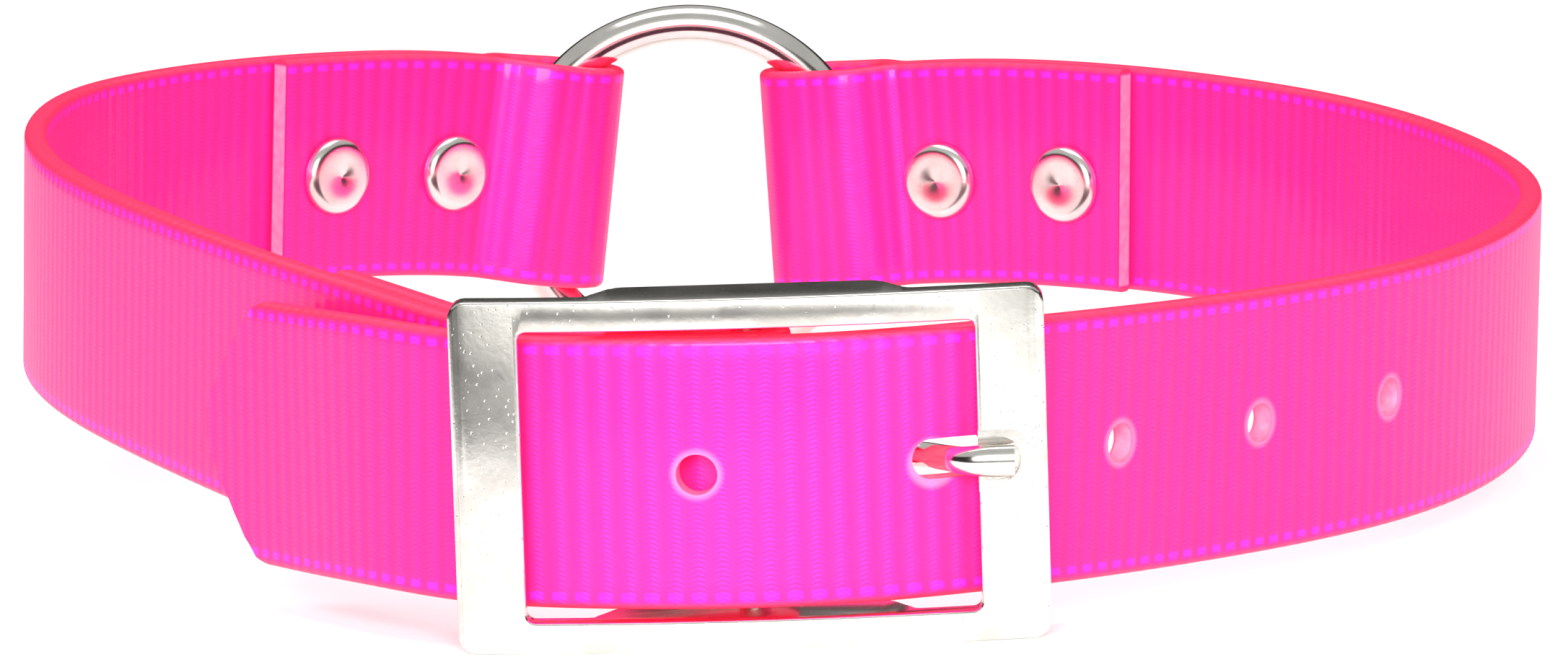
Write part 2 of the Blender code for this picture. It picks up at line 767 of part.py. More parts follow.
def stand_up(collar):
    """Tip the collar onto the buckle's lower edge and the ring, and centre its box."""
    level = Matrix.Rotation(BUCKLE_ROLL, 4, "Y")
    buckle_low = level @ buckle_matrix() @ Vector((0.0, FRAME_ARCH, -BUCKLE_HEIGHT / 2))
    ring_low = (level @ ring_place()) - Vector((0.0, 0.0, RING_OUTER / 2))
    slope = math.atan2(buckle_low.z - ring_low.z, ring_low.y - buckle_low.y)
    turn = Matrix.Rotation(slope, 4, "X") @ level
    low = Vector((math.inf, math.inf, math.inf))
    high = -low
    bpy.context.view_layer.update()
    shapes = bpy.context.evaluated_depsgraph_get()
    for item in collar.children:
        if item.hide_render:
            continue
        shape = item.evaluated_get(shapes)
        for vert in shape.data.vertices:
            place = turn @ shape.matrix_world @ vert.co
            low = Vector(map(min, low, place))
            high = Vector(map(max, high, place))
    middle = (low + high) / 2
    collar.matrix_world = Matrix.Translation((-middle.x, -middle.y, -low.z)) @ turn


def build():
    """Make every piece of the collar."""
    for item in list(bpy.data.objects):
        bpy.data.objects.remove(item, do_unlink=True)
    webbing = material("pink_webbing", (1.0, 0.012, 0.16), 0.35, 0.0)
    steel = material("nickel_steel", (0.62, 0.60, 0.55), 0.25, 1.0)
    collar = bpy.data.objects.new("collar", None)
    bpy.context.scene.collection.objects.link(collar)

    buckle_route = buckle_strap_route()
    tail = tail_route(buckle_route)
    ring_rivets = [RIVET_FIRST, RIVET_FIRST + RIVET_SPACING]
    far_rivets = [buckle_route.length - distance for distance in ring_rivets]
    bar_rivets = [BAR_RIVET_FIRST, BAR_RIVET_FIRST + BAR_RIVET_SPACING]

    tail_strap = make_tail_strap(tail, webbing, collar)
    punch_tail(tail_strap, tail, steel, collar)
    cut_rivet_holes(tail_strap, tail, ring_rivets, collar, steel)
    buckle_strap = make_buckle_strap(buckle_route, webbing, steel, collar)
    cut_rivet_holes(buckle_strap, buckle_route, far_rivets + bar_rivets, collar, steel)

    add_rivets("tail_rivet", tail, ring_rivets, steel, collar)
    add_rivets("ring_rivet", buckle_route, far_rivets, steel, collar)
    add_rivets("buckle_rivet", buckle_route, bar_rivets, steel, collar)
    make_frame(steel, collar)
    tongue = add_object("tongue", tongue_mesh(), steel, collar)
    tongue.matrix_local = buckle_matrix()
    make_ring(steel, collar)
    stand_up(collar)


build()
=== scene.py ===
import math

import bmesh
import bpy
import numpy as np
from mathutils import Matrix, Vector


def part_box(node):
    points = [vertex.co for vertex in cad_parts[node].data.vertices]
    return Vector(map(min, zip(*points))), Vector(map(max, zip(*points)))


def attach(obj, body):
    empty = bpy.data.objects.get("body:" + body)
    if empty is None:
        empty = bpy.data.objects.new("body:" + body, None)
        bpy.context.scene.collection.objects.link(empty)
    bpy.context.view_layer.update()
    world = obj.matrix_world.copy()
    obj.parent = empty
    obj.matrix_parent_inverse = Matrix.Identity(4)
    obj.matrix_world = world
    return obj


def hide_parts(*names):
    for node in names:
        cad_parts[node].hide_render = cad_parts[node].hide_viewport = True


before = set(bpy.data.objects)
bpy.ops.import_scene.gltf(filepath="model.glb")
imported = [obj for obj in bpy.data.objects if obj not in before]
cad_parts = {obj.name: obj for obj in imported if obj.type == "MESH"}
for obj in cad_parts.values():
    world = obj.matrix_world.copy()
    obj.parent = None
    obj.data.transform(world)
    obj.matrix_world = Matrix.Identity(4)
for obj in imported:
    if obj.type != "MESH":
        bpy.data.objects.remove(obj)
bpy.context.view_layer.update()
print("frame loaded")

mm = 0.001
bodyName = "collar"

# Helpers for modelling


def pickOnly(piece):
    if bpy.context.object and bpy.context.object.mode != "OBJECT":
        bpy.ops.object.mode_set(mode="OBJECT")
    bpy.ops.object.select_all(action="DESELECT")
    piece.select_set(True)
    bpy.context.view_layer.objects.active = piece


def clearSelection():
    if bpy.context.object and bpy.context.object.mode != "OBJECT":
        bpy.ops.object.mode_set(mode="OBJECT")
    bpy.ops.object.select_all(action="DESELECT")


def applyModifier(piece, kind, **settings):
    pickOnly(piece)
    added = piece.modifiers.new(kind.title(), kind)
    for name, value in settings.items():
        setattr(added, name, value)
    bpy.ops.object.modifier_apply(modifier=added.name)


def editMode(piece, selectMode="VERT"):
    pickOnly(piece)
    bpy.ops.object.mode_set(mode="EDIT")
    bpy.ops.mesh.select_mode(type=selectMode)
    bpy.ops.mesh.select_all(action="DESELECT")


def selectVerts(piece, test):
    shape = bmesh.from_edit_mesh(piece.data)
    shape.normal_update()
    for vert in shape.verts:
        vert.select = test(vert.co)
    shape.select_flush_mode()
    bmesh.update_edit_mesh(piece.data)


def selectEdges(piece, test):
    shape = bmesh.from_edit_mesh(piece.data)
    shape.normal_update()
    for edge in shape.edges:
        edge.select = test(edge)
    shape.select_flush_mode()
    bmesh.update_edit_mesh(piece.data)


def selectFaces(piece, test):
    shape = bmesh.from_edit_mesh(piece.data)
    shape.normal_update()
    for face in shape.faces:
        face.select = test(face)
    shape.select_flush_mode()
    bmesh.update_edit_mesh(piece.data)


def leaveEdit():
    bpy.ops.object.mode_set(mode="OBJECT")


def placePiece(piece, matrix):  # the place goes into the mesh
    bpy.context.view_layer.update()
    piece.matrix_world = matrix @ piece.matrix_world
    pickOnly(piece)
    bpy.ops.object.transform_apply(location=True, rotation=True, scale=True)


def cutAway(piece, cutter, operation="DIFFERENCE"):
    applyModifier(piece, "BOOLEAN", operation=operation, solver="EXACT", object=cutter)
    bpy.data.objects.remove(cutter, do_unlink=True)


def outwardFaces(piece):
    editMode(piece)
    bpy.ops.mesh.select_all(action="SELECT")
    bpy.ops.mesh.remove_doubles(threshold=0.001 * mm)
    bpy.ops.mesh.normals_make_consistent(inside=False)
    leaveEdit()


def smoothShade(piece, degrees):
    pickOnly(piece)
    bpy.ops.object.shade_smooth_by_angle(angle=math.radians(degrees))


def finishPiece(piece, name, finish, slotName, body, *nodes):
    piece.name = name
    piece.data.name = name
    piece.data.materials.clear()
    piece.data.materials.append(finish)
    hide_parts(*nodes)
    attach(piece, body)
    return piece


# Helpers for materials


def newMaterial(name):
    made = bpy.data.materials.new(name)
    made.use_nodes = True
    return made, made.node_tree, made.node_tree.nodes["Principled BSDF"]


def addNode(tree, kind, **settings):
    node = tree.nodes.new(kind)
    for name, value in settings.items():
        setattr(node, name, value)
    return node


def plug(tree, value, socket):
    if isinstance(value, bpy.types.NodeSocket):
        tree.links.new(value, socket)
    else:
        socket.default_value = value


def sums(tree, operation, first, second=0.0, third=0.0):
    node = addNode(tree, "ShaderNodeMath", operation=operation)
    for value, socket in zip((first, second, third), node.inputs):
        plug(tree, value, socket)
    return node.outputs[0]


def ramp(tree, value, low, high):  # 0 below low, 1 above high, eased between them
    node = addNode(tree, "ShaderNodeMapRange", interpolation_type="SMOOTHSTEP")
    plug(tree, value, node.inputs["Value"])
    node.inputs["From Min"].default_value = min(low, high)
    node.inputs["From Max"].default_value = max(low, high)
    node.inputs["To Min"].default_value = 0.0 if high > low else 1.0
    node.inputs["To Max"].default_value = 1.0 if high > low else 0.0
    return node.outputs["Result"]


def blendColour(tree, factor, first, second):
    node = addNode(tree, "ShaderNodeMix", data_type="RGBA")
    plug(tree, factor, node.inputs["Factor"])
    plug(tree, first, node.inputs["A"] if False else node.inputs[6])
    plug(tree, second, node.inputs[7])
    return node.outputs[2]


def noise(tree, vector, scale, detail=2.0, roughness=0.5):
    node = addNode(tree, "ShaderNodeTexNoise")
    plug(tree, vector, node.inputs["Vector"])
    node.inputs["Scale"].default_value = scale
    node.inputs["Detail"].default_value = detail
    node.inputs["Roughness"].default_value = roughness
    return node.outputs["Fac"]


# Where the collar stands, from the same sizes as the solids

strap = {
    "width": 25.4 * mm,
    "thickness": 2.3 * mm,
    "edge": 0.7 * mm,
    "layerGap": 0.3 * mm,
    "flap": 40.0 * mm,
    "pinchStart": 5.2 * mm,
    "pinchEnd": 11.2 * mm,
    "lift": 3.1 * mm,
    "ribPitch": 2.18 * mm,
    "ribRelief": 0.035,
}
loop = {"width": 157.0 * mm, "depth": 219.5 * mm}
ring = {
    "wire": 4.3 * mm,
    "outer": 43.2 * mm,
    "shift": 9.6 * mm,
    "drop": 2.0 * mm,
    "foldGap": 17.6 * mm,
    "foldRoom": 2.2 * mm,
    "back": 0.1 * mm,
}
buckle = {
    "width": 55.0 * mm,
    "height": 33.0 * mm,
    "shift": 1.4 * mm,
    "windowWidth": 42.2 * mm,
    "windowHeight": 27.2 * mm,
    "depth": 3.2 * mm,
    "arch": 2.6 * mm,
    "corner": 1.6 * mm,
    "rim": 0.6 * mm,
    "windowRim": 0.3 * mm,
    "lug": 24.0 * mm,
    "lugRamp": 3.0 * mm,
    "lugDepth": 9.2 * mm,
    "bar": 3.0 * mm,
    "barDepth": 7.4 * mm,
    "roll": math.radians(2.75),
    "barFlap": 56.0 * mm,
    "barPinchStart": 2.2 * mm,
    "barPinchEnd": 9.0 * mm,
    "notchWidth": 5.4 * mm,
    "notchLength": 5.3 * mm,
    "notchDepth": 1.6 * mm,
}
tail = {
    "holeDiameter": 3.8 * mm,
    "holePitch": 21.6 * mm,
    "holeCount": 5,
    "holeReach": 16.9 * mm,
    "holeDrawn": 2.0 * mm,
    "rest": 68.5 * mm,
    "tip": 11.5 * mm,
}
rivet = {
    "cap": 8.8 * mm,
    "capHeight": 1.2 * mm,
    "shank": 3.0 * mm,
    "first": 15.8 * mm,
    "spacing": 16.8 * mm,
    "barFirst": 36.5 * mm,
    "barSpacing": 13.5 * mm,
    "drop": 0.8 * mm,
    "seatGap": 0.3 * mm,
}
tongue = {"wire": 2.4 * mm, "lift": 0.4 * mm, "slotGap": 0.5 * mm}

foldRadius = ring["wire"] / 2 + ring["foldRoom"] + strap["thickness"] / 2
barFoldRadius = buckle["bar"] / 2 + strap["layerGap"] + strap["thickness"] / 2
halfLap = (strap["thickness"] + strap["layerGap"]) / 2

# Across is a share of half the loop's width, along a share of its depth, lift a share of strap lift
tailStations = [
    (0.266, 0.968, 0.60),
    (0.449, 0.928, 0.92),
    (0.619, 0.880, 1.00),
    (0.771, 0.822, 1.00),
    (0.930, 0.694, 1.00),
    (1.000, 0.533, 1.00),
    (0.938, 0.374, 1.00),
    (0.754, 0.227, 1.05),
    (0.467, 0.101, 1.20),
]
buckleStations = [
    (-0.215, 0.042, 0.80),
    (-0.325, 0.064, 0.78),
    (-0.433, 0.119, 0.82),
    (-0.548, 0.189, 0.90),
    (-0.668, 0.267, 0.95),
    (-0.866, 0.415, 1.00),
    (-0.983, 0.570, 1.00),
    (-0.996, 0.683, 1.00),
    (-0.953, 0.770, 1.00),
    (-0.832, 0.845, 1.00),
    (-0.640, 0.915, 0.92),
    (-0.473, 0.962, 0.60),
]
lapStations = [  # along as a share of the tail's rest, stand off in thicknesses, lift
    (0.50, 2.05, 0.50),
    (0.72, 2.15, 0.15),
    (1.05, 2.45, -0.30),
]


def ease(value):
    held = min(max(value, 0.0), 1.0)
    return held * held * (3.0 - 2.0 * held)


class Route:
    def __init__(self, points, startDirection, endDirection):
        self.points = np.array([tuple(point) for point in points])
        chords = np.linalg.norm(np.diff(self.points, axis=0), axis=1)
        self.knots = np.concatenate([[0.0], np.cumsum(chords)])
        self.slopes = self.solveSlopes(startDirection, endDirection)
        self.fine = np.linspace(0.0, self.knots[-1], 40 * len(chords))
        places = np.array([self.atKnot(value)[0] for value in self.fine])
        lengths = np.linalg.norm(np.diff(places, axis=0), axis=1)
        self.travelled = np.concatenate([[0.0], np.cumsum(lengths)])
        self.length = float(self.travelled[-1])

    def solveSlopes(self, startDirection, endDirection):
        count = len(self.points)
        steps = np.diff(self.knots)
        rates = np.diff(self.points, axis=0) / steps[:, None]
        system = np.eye(count)
        wanted = np.zeros((count, 3))
        wanted[0] = startDirection
        wanted[-1] = endDirection
        for row in range(1, count - 1):
            before, after = steps[row - 1], steps[row]
            system[row, row - 1] = after
            system[row, row] = 2.0 * (before + after)
            system[row, row + 1] = before
            wanted[row] = 3.0 * (after * rates[row - 1] + before * rates[row])
        return np.linalg.solve(system, wanted)

    def atKnot(self, value):
        last = len(self.knots) - 2
        index = int(np.clip(np.searchsorted(self.knots, value, side="right") - 1, 0, last))
        step = self.knots[index + 1] - self.knots[index]
        t = (value - self.knots[index]) / step
        start, end = self.points[index], self.points[index + 1]
        startSlope, endSlope = self.slopes[index] * step, self.slopes[index + 1] * step
        place = (2 * t**3 - 3 * t**2 + 1) * start + (t**3 - 2 * t**2 + t) * startSlope
        place = place + (3 * t**2 - 2 * t**3) * end + (t**3 - t**2) * endSlope
        heading = (6 * t**2 - 6 * t) * start + (3 * t**2 - 4 * t + 1) * startSlope
        heading = heading + (6 * t - 6 * t**2) * end + (3 * t**2 - 2 * t) * endSlope
        return place, heading

    def frameAt(self, distance):
        value = float(np.interp(distance, self.travelled, self.fine))
        place, heading = self.atKnot(value)
        along = Vector(heading).normalized()
        outward = Vector((-along.y, along.x, 0.0)).normalized()
        return Vector(place), along, outward, along.cross(outward)

    def distanceWhere(self, test):
        for value, distance in zip(self.fine, self.travelled):
            if test(self.atKnot(value)[0]):
                return float(distance)
        return self.length


def foldOffset(distance, radius, start, end, flap):
    opened = halfLap + (radius - halfLap) * (1.0 - ease((distance - start) / (end - start)))
    return opened * (1.0 - ease((distance - flap) / flap))


def ringOffset(distance):
    return foldOffset(distance, foldRadius, strap["pinchStart"], strap["pinchEnd"], strap["flap"])


def barOffset(distance):
    pinch = (buckle["barPinchStart"], buckle["barPinchEnd"])
    return foldOffset(distance, barFoldRadius, *pinch, buckle["barFlap"])


def stationPoints(stations):
    reach, depth, lift = loop["width"] / 2, loop["depth"], strap["lift"]
    return [Vector((across * reach, along * depth, up * lift)) for across, along, up in stations]


def foldAxis(side):
    reach = ring["foldGap"] / 2 + foldRadius + strap["thickness"] / 2
    return Vector((side * reach - ring["shift"], loop["depth"], 0.0))


def ringPlace():
    return Vector((-ring["shift"], loop["depth"] - ring["back"], -ring["drop"]))


def buckleMatrix():
    place = Vector((-buckle["shift"], 0.0, strap["lift"]))
    return Matrix.Translation(place) @ Matrix.Rotation(-buckle["roll"], 4, "Y")


def frameDrop(across):
    return buckle["arch"] * (2.0 * across / buckle["width"]) ** 2


def tailDepth(across):
    innerEdge = buckle["windowWidth"] / 2
    crest = buckle["barDepth"] - barFoldRadius - strap["thickness"] - strap["layerGap"]
    under = frameDrop(innerEdge) + buckle["depth"] + 2 * strap["layerGap"] + strap["thickness"] / 2
    return crest + (under - crest) * (across / innerEdge) ** 2


def makeBuckleRoute():
    matrix = buckleMatrix()
    start = matrix @ Vector((0.0, buckle["barDepth"], 0.0))
    leave = matrix.to_3x3() @ Vector((-1.0, 0.12, 0.0))
    arrive = Vector((0.90, 0.43, -0.095))
    points = [start, *stationPoints(buckleStations), foldAxis(-1)]
    return Route(points, leave.normalized(), arrive.normalized())


def otherOffset(route, distance):
    return barOffset(distance) + ringOffset(route.length - distance)


def makeTailRoute(other):
    matrix = buckleMatrix()
    side = (buckle["width"] + buckle["windowWidth"]) / 4
    inBuckle = []
    for share in (1.0, 0.5, 0.0, -0.5, -1.0):
        inBuckle.append(matrix @ Vector((side * share, tailDepth(side * share), 0.0)))
    beyond = []
    for along, standOff, lift in lapStations:
        distance = along * tail["rest"]
        place, _, outward, _ = other.frameAt(distance)
        point = place + outward * (otherOffset(other, distance) + standOff * strap["thickness"])
        point.z = lift * strap["lift"]
        beyond.append(point)
    leave = Vector((0.91, -0.41, 0.095)).normalized()
    arrive = (beyond[-1] - beyond[-2]).normalized()
    points = [foldAxis(1), *stationPoints(tailStations), *inBuckle, *beyond]
    return Route(points, leave, arrive)


def collarMatrix():
    level = Matrix.Rotation(buckle["roll"], 4, "Y")
    frameLow = Vector((0.0, buckle["arch"], -buckle["height"] / 2))
    buckleLow = level @ buckleMatrix() @ frameLow
    ringLow = (level @ ringPlace()) - Vector((0.0, 0.0, ring["outer"] / 2))
    slope = math.atan2(buckleLow.z - ringLow.z, ringLow.y - buckleLow.y)
    turn = Matrix.Rotation(slope, 4, "X") @ level
    low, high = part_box("ring")
    return Matrix.Translation((Vector(low) + Vector(high)) / 2 - turn @ ringPlace()) @ turn


buckleRoute = makeBuckleRoute()
tailRoute = makeTailRoute(buckleRoute)
toWorld = collarMatrix()
print("routes laid out")

# Camera

view = {
    "lens": 13100.0,  # in pixels of the photograph
    "photoWidth": 2173.0,
    "elevation": math.radians(9.01),
    "roll": math.radians(1.0),
    "distance": 974 * mm,
    "target": Vector((1.5 * mm, 104.5 * mm, -0.2 * mm)),
}


def makeCamera():
    back = Vector((0.0, -math.cos(view["elevation"]), math.sin(view["elevation"])))
    right = Vector((1.0, 0.0, 0.0))
    upward = back.cross(right)
    turn, lean = math.cos(view["roll"]), math.sin(view["roll"])
    leanRight = right * turn + upward * lean
    leanUp = upward * turn - right * lean
    axes = Matrix((leanRight, leanUp, back)).transposed().to_4x4()
    place = view["target"] + back * view["distance"]
    bpy.ops.object.camera_add()
    camera = bpy.context.object
    camera.name = "photoCamera"
    camera.matrix_world = toWorld @ Matrix.Translation(place) @ axes
    camera.data.sensor_width = 36.0
    camera.data.lens = view["lens"] * camera.data.sensor_width / view["photoWidth"]
    camera.data.clip_start = 0.01
    bpy.context.scene.camera = camera


clearSelection()
makeCamera()
print("camera placed")

# Webbing: one rib is modelled, repeated, cut and bent along its strap's route

weave = {
    "pink": (1.0, 0.010, 0.13, 1.0),
    # magenta: a painted highlight tone for the rib ridges, also the second tone of the chevron weave
    "magenta": (1.0, 0.014, 0.24, 1.0),
    # rim: orange-red for the selvedge edges, a painted glow of light shining through the translucent edge
    "rim": (1.0, 0.035, 0.05, 1.0),
    "dash": (0.85, 0.014, 0.6, 1.0),
    "fibre": (1.0, 0.34, 0.42, 1.0),
    "glow": (1.0, 0.0, 0.03, 1.0),
    "glowStrength": 0.35,
    "chevronPitch": 0.45 * mm,
}


def webbingMaterial(name, holeStart=None):
    made, tree, shader = newMaterial(name)
    place = addNode(tree, "ShaderNodeAttribute", attribute_name="flatPlace").outputs["Vector"]
    parts = addNode(tree, "ShaderNodeSeparateXYZ")
    plug(tree, place, parts.inputs[0])
    along, depth, across = parts.outputs
    ribs = sums(tree, "FRACT", sums(tree, "DIVIDE", along, strap["ribPitch"]))
    triangle = sums(tree, "ABSOLUTE", sums(tree, "MULTIPLY_ADD", ribs, 2.0, -1.0))
    ridge = ramp(tree, triangle, 0.85, 0.30)
    slant = sums(tree, "MULTIPLY", triangle, 0.9)
    step = sums(tree, "ADD", sums(tree, "DIVIDE", across, weave["chevronPitch"]), slant)
    chevron = sums(tree, "SINE", sums(tree, "MULTIPLY", step, 2 * math.pi))
    edge = sums(tree, "ABSOLUTE", across)
    # Mask of the selvedge edges, which get the painted orange-red glow of light through the edge.
    rim = ramp(tree, edge, 11.9 * mm, 12.4 * mm)
    grain = noise(tree, place, 900.0, 3.0)

    dashRow = sums(tree, "MULTIPLY", ramp(tree, edge, 11.0 * mm, 11.3 * mm), ramp(tree, edge, 12.0 * mm, 11.7 * mm))
    dashes = sums(tree, "MULTIPLY", dashRow, ramp(tree, triangle, 0.75, 0.45))

    # Rib ridges are blended to magenta as a painted highlight; the chevron share is the weave pattern.
    chevronAndHighlight = sums(tree, "MULTIPLY_ADD", chevron, 0.12, sums(tree, "MULTIPLY", ridge, 0.45))
    colour = blendColour(tree, chevronAndHighlight, weave["pink"], weave["magenta"])
    colour = blendColour(tree, sums(tree, "MULTIPLY", dashes, 0.7), colour, weave["dash"])
    colour = blendColour(tree, rim, colour, weave["rim"])

    inner = ramp(tree, sums(tree, "ABSOLUTE", depth), 1.05 * mm, 0.85 * mm)
    core = sums(tree, "MULTIPLY", inner, ramp(tree, edge, 12.2 * mm, 11.8 * mm))
    cut = sums(tree, "MULTIPLY", core, sums(tree, "MULTIPLY_ADD", grain, 0.9, 0.3))
    if holeStart is not None:
        fromHole = sums(tree, "WRAP", sums(tree, "SUBTRACT", along, holeStart), tail["holePitch"] / 2, -tail["holePitch"] / 2)
        reach = sums(tree, "SQRT", sums(tree, "ADD", sums(tree, "POWER", fromHole, 2.0), sums(tree, "POWER", across, 2.0)))
        lastHole = holeStart + (tail["holeCount"] - 1) * tail["holePitch"]
        punched = sums(
            tree, "MULTIPLY", ramp(tree, along, holeStart - 10 * mm, holeStart - 9 * mm),
            ramp(tree, along, lastHole + 10 * mm, lastHole + 9 * mm),
        )
        halo = sums(tree, "MULTIPLY", ramp(tree, reach, 2.7 * mm, 1.9 * mm), punched)
        cut = sums(tree, "MAXIMUM", cut, sums(tree, "MULTIPLY", halo, 0.5))
    colour = blendColour(tree, cut, colour, weave["fibre"])
    plug(tree, colour, shader.inputs["Base Color"])

    ribHeight = sums(tree, "MULTIPLY", sums(tree, "COSINE", sums(tree, "MULTIPLY", ribs, 2 * math.pi)), -0.02 * mm)
    chevronHeight = sums(tree, "MULTIPLY", sums(tree, "MULTIPLY", chevron, ridge), 0.012 * mm)
    grainHeight = sums(tree, "MULTIPLY", grain, 0.02 * mm)
    height = sums(tree, "ADD", sums(tree, "ADD", ribHeight, chevronHeight), grainHeight)
    bump = addNode(tree, "ShaderNodeBump")
    bump.inputs["Strength"].default_value = 1.0
    bump.inputs["Distance"].default_value = 1.0
    plug(tree, height, bump.inputs["Height"])
    plug(tree, bump.outputs["Normal"], shader.inputs["Normal"])
    rough = sums(tree, "MULTIPLY_ADD", grain, 0.15, 0.5)
    plug(tree, rough, shader.inputs["Roughness"])
    shader.inputs["Specular IOR Level"].default_value = 1.0
    shader.inputs["IOR"].default_value = 1.8
    shader.inputs["Specular Tint"].default_value = (0.9, 0.12, 1.0, 1.0)
    shader.inputs["Coat Weight"].default_value = 0.25
    shader.inputs["Coat Roughness"].default_value = 0.12
    shader.inputs["Emission Color"].default_value = weave["glow"]
    shader.inputs["Emission Strength"].default_value = weave["glowStrength"]
    return made


def pathRows(route, distances, offsetOf, side):
    rows = []
    for distance in distances:
        place, _, outward, upward = route.frameAt(distance)
        rows.append((place + outward * offsetOf(distance) * side, upward))
    return rows


def foldRows(route, distance, radius, backward, steps=28):
    place, along, outward, upward = route.frameAt(distance)
    rows = []
    for step in range(1, steps):
        angle = math.pi * step / steps
        spoke = -outward * math.cos(angle) + along * backward * math.sin(angle)
        rows.append((place + spoke * radius, upward))
    return rows


def guideCurve(name, rows):
    data = bpy.data.curves.new(name, "CURVE")
    data.dimensions = "3D"
    data.twist_mode = "Z_UP"
    spline = data.splines.new("POLY")
    spline.points.add(len(rows) - 1)
    last = len(rows) - 1
    for index, (place, upward) in enumerate(rows):
        heading = (rows[min(index + 1, last)][0] - rows[max(index - 1, 0)][0]).normalized()
        level = Vector((0.0, 0.0, 1.0))
        level = (level - heading * level.dot(heading)).normalized()
        spline.points[index].co = (*place, 1.0)
        spline.points[index].tilt = math.atan2(level.cross(upward).dot(heading), level.dot(upward))
    guide = bpy.data.objects.new(name, data)
    bpy.context.scene.collection.objects.link(guide)
    return guide


def travelledAlong(rows):
    places = np.array([tuple(place) for place, _ in rows])
    steps = np.linalg.norm(np.diff(places, axis=0), axis=1)
    return np.concatenate([[0.0], np.cumsum(steps)])


def ribbedWebbing(name, length):  # lies along X, its show face towards +Y and its width along Z
    count = round(length / strap["ribPitch"])
    pitch = length / count
    bpy.ops.mesh.primitive_cube_add(size=1.0, location=(pitch / 2, 0.0, 0.0))
    piece = bpy.context.object
    piece.scale = (pitch, strap["thickness"], strap["width"])
    placePiece(piece, Matrix.Identity(4))
    editMode(piece, "FACE")
    selectFaces(piece, lambda face: abs(face.normal.x) > 0.5)
    bpy.ops.mesh.delete(type="ONLY_FACE")
    bpy.ops.mesh.select_mode(type="EDGE")
    selectEdges(piece, lambda edge: abs(edge.verts[0].co.x - edge.verts[1].co.x) > pitch / 2)
    bpy.ops.mesh.bevel(offset=strap["edge"], segments=4, profile=0.5, affect="EDGES")
    for cut in range(1, 6):
        bpy.ops.mesh.select_all(action="SELECT")
        bpy.ops.mesh.bisect(plane_co=(pitch * cut / 6, 0, 0), plane_no=(1, 0, 0))
    for cut in range(-5, 6):
        bpy.ops.mesh.select_all(action="SELECT")
        bpy.ops.mesh.bisect(plane_co=(0, 0, strap["width"] * cut / 12.5), plane_no=(0, 0, 1))
    bpy.ops.mesh.select_mode(type="VERT")
    for low, high, swell in ((0.25, 0.42, 0.5), (0.42, 0.58, 1.0), (0.58, 0.75, 0.5)):
        selectVerts(piece, lambda co: low < co.x / pitch < high)
        bpy.ops.transform.resize(value=(1.0, 1.0 + strap["ribRelief"] * swell, 1.0), center_override=(0, 0, 0))
    leaveEdit()
    applyModifier(
        piece, "ARRAY", count=count, use_relative_offset=False, use_constant_offset=True,
        constant_offset_displace=(pitch, 0.0, 0.0), use_merge_vertices=True, merge_threshold=0.01 * mm,
    )
    editMode(piece, "EDGE")
    bpy.ops.mesh.select_non_manifold()
    bpy.ops.mesh.fill_holes(sides=0)
    leaveEdit()
    outwardFaces(piece)
    piece.name = name
    return piece


def punch(piece, along, across, diameter, drawn=0.0):
    bpy.ops.mesh.primitive_cylinder_add(
        vertices=32, radius=diameter / 2, depth=4 * strap["thickness"],
        location=(along, 0.0, across), rotation=(math.pi / 2, 0.0, 0.0),
    )
    punchTool = bpy.context.object
    bpy.ops.object.transform_apply(location=True, rotation=True, scale=True)
    if drawn:
        editMode(punchTool)
        for side in (-1, 1):
            selectVerts(punchTool, lambda co: (co.x - along) * side > 0.01 * mm)
            bpy.ops.transform.translate(value=(side * drawn, 0.0, 0.0))
        leaveEdit()
    return punchTool


def joinPieces(pieces):
    clearSelection()
    for piece in pieces:
        piece.select_set(True)
    bpy.context.view_layer.objects.active = pieces[0]
    bpy.ops.object.join()
    return pieces[0]


def rememberFlatPlace(piece):
    attribute = piece.data.attributes.new("flatPlace", "FLOAT_VECTOR", "POINT")
    places = np.empty(len(piece.data.vertices) * 3, dtype=np.float32)
    piece.data.vertices.foreach_get("co", places)
    attribute.data.foreach_set("vector", places)


def bendAlong(piece, rows):
    rememberFlatPlace(piece)
    guide = guideCurve(piece.name + "Guide", rows)
    applyModifier(piece, "CURVE", object=guide, deform_axis="POS_X")
    bpy.data.objects.remove(guide, do_unlink=True)
    placePiece(piece, toWorld)
    smoothShade(piece, 50)


def spacing(start, end, step):
    return list(np.linspace(start, end, max(2, round((end - start) / step) + 1)))


tipOutline = [(0.00, 0.10), (0.05, 0.21), (0.30, 0.48), (0.62, 0.79), (0.85, 0.95), (1.00, 1.00)]


def tipCutter(length):
    outline = []
    for along, height in tipOutline:
        outline.append((length - along * tail["tip"], height * strap["width"] / 2))
    far = length + tail["tip"]
    wide = strap["width"]
    upper = [(x, z) for x, z in reversed(outline)]
    upper[0] = (upper[0][0], strap["width"] / 2)
    shape = [(upper[0][0], wide)] + upper + [(x, -z) for x, z in outline] + [(upper[0][0], -wide), (far, -wide), (far, wide)]
    data = bpy.data.meshes.new("tipCutter")
    data.from_pydata([(x, -strap["width"] / 2, z) for x, z in shape], [], [list(range(len(shape)))])
    cutter = bpy.data.objects.new("tipCutter", data)
    bpy.context.scene.collection.objects.link(cutter)
    editMode(cutter)
    bpy.ops.mesh.select_all(action="SELECT")
    bpy.ops.mesh.extrude_region_move(TRANSFORM_OT_translate={"value": (0.0, strap["width"], 0.0)})
    bpy.ops.mesh.select_all(action="SELECT")
    bpy.ops.mesh.normals_make_consistent(inside=False)
    leaveEdit()
    return cutter


